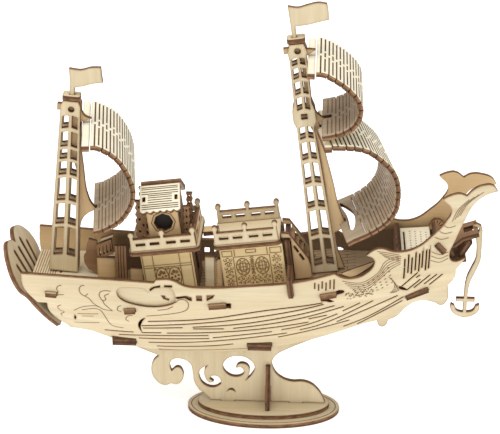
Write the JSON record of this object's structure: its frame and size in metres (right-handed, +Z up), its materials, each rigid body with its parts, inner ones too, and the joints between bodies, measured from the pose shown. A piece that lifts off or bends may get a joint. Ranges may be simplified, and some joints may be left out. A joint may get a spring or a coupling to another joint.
{
  "type": "wooden puzzle ship",
  "caption": "Interlocking plywood ship on an oval stand, with lattice masts, curved sails, a bent hull, railed cabins and an anchor that swings from its bow.",
  "frame": {"origin": "middle of the underside of the oval stand", "axes": "+X towards the bow, +Y to port, +Z up"},
  "size_m": [0.31, 0.0728, 0.2878],
  "materials": {
    "birch_plywood": "bare sanded birch plywood, pale",
    "shaded_plywood": "bare plywood, tanned by the cutter's smoke",
    "burnt_plywood": "bare plywood seen mostly on its burnt cut edges"
  },
  "bodies": {
    "ship": {"aft_flag": "shaded_plywood", "aft_mast_cap": "burnt_plywood", "aft_mast_core": "shaded_plywood", "aft_mast_frame_port": "birch_plywood", "aft_mast_frame_starboard": "birch_plywood", "aft_sail": "birch_plywood", "aft_yard": "shaded_plywood", "bridge_plank": "shaded_plywood", "bulkhead_bow": "burnt_plywood", "cabin_aft_platform": "birch_plywood", "cabin_aft_rail_bow": "burnt_plywood", "cabin_aft_rail_port": "birch_plywood", "cabin_aft_rail_starboard": "birch_plywood", "cabin_aft_wall_bow": "burnt_plywood", "cabin_aft_wall_port": "birch_plywood", "cabin_aft_wall_starboard": "birch_plywood", "cabin_aft_wall_stern": "burnt_plywood", "cabin_fore_platform": "birch_plywood", "cabin_fore_rail_port": "birch_plywood", "cabin_fore_rail_starboard": "birch_plywood", "cabin_fore_rail_stern": "burnt_plywood", "cabin_fore_wall_bow": "burnt_plywood", "cabin_fore_wall_port": "birch_plywood", "cabin_fore_wall_starboard": "birch_plywood", "cabin_fore_wall_stern": "burnt_plywood", "cathead": "burnt_plywood", "cathead_strut": "burnt_plywood", "floor_aft": "burnt_plywood", "floor_bow": "burnt_plywood", "floor_mid": "burnt_plywood", "fore_deck": "birch_plywood", "fore_flag": "shaded_plywood", "fore_mast_cap": "burnt_plywood", "fore_mast_core": "shaded_plywood", "fore_mast_frame_port": "birch_plywood", "fore_mast_frame_starboard": "birch_plywood", "fore_sail_lower": "birch_plywood", "fore_sail_upper": "birch_plywood", "fore_yard_lower": "shaded_plywood", "fore_yard_upper": "shaded_plywood", "hull_side_port": "shaded_plywood", "hull_side_starboard": "birch_plywood", "keel_scroll_plate": "birch_plywood", "main_deck": "birch_plywood", "poop_deck": "birch_plywood", "stair_side_port": "shaded_plywood", "stair_side_starboard": "shaded_plywood", "stair_tread": "burnt_plywood", "stand_base_lower": "birch_plywood", "stand_base_upper": "birch_plywood", "stand_cross_brace": "burnt_plywood", "stem_tie": "burnt_plywood", "tower_roof_port": "birch_plywood", "tower_roof_starboard": "birch_plywood", "tower_wall_bow": "burnt_plywood", "tower_wall_port": "birch_plywood", "tower_wall_starboard": "birch_plywood", "tower_wall_stern": "burnt_plywood", "transom": "birch_plywood"},
    "anchor": {"anchor": "birch_plywood"}
  },
  "joints": [
    {"name": "anchor_swing", "type": "hinge", "parent": "ship", "child": "anchor", "pos_m": [0.1334, 0, 0.1402], "axis": [0, 1, 0], "range_deg": [-60, 18]}
  ]
}
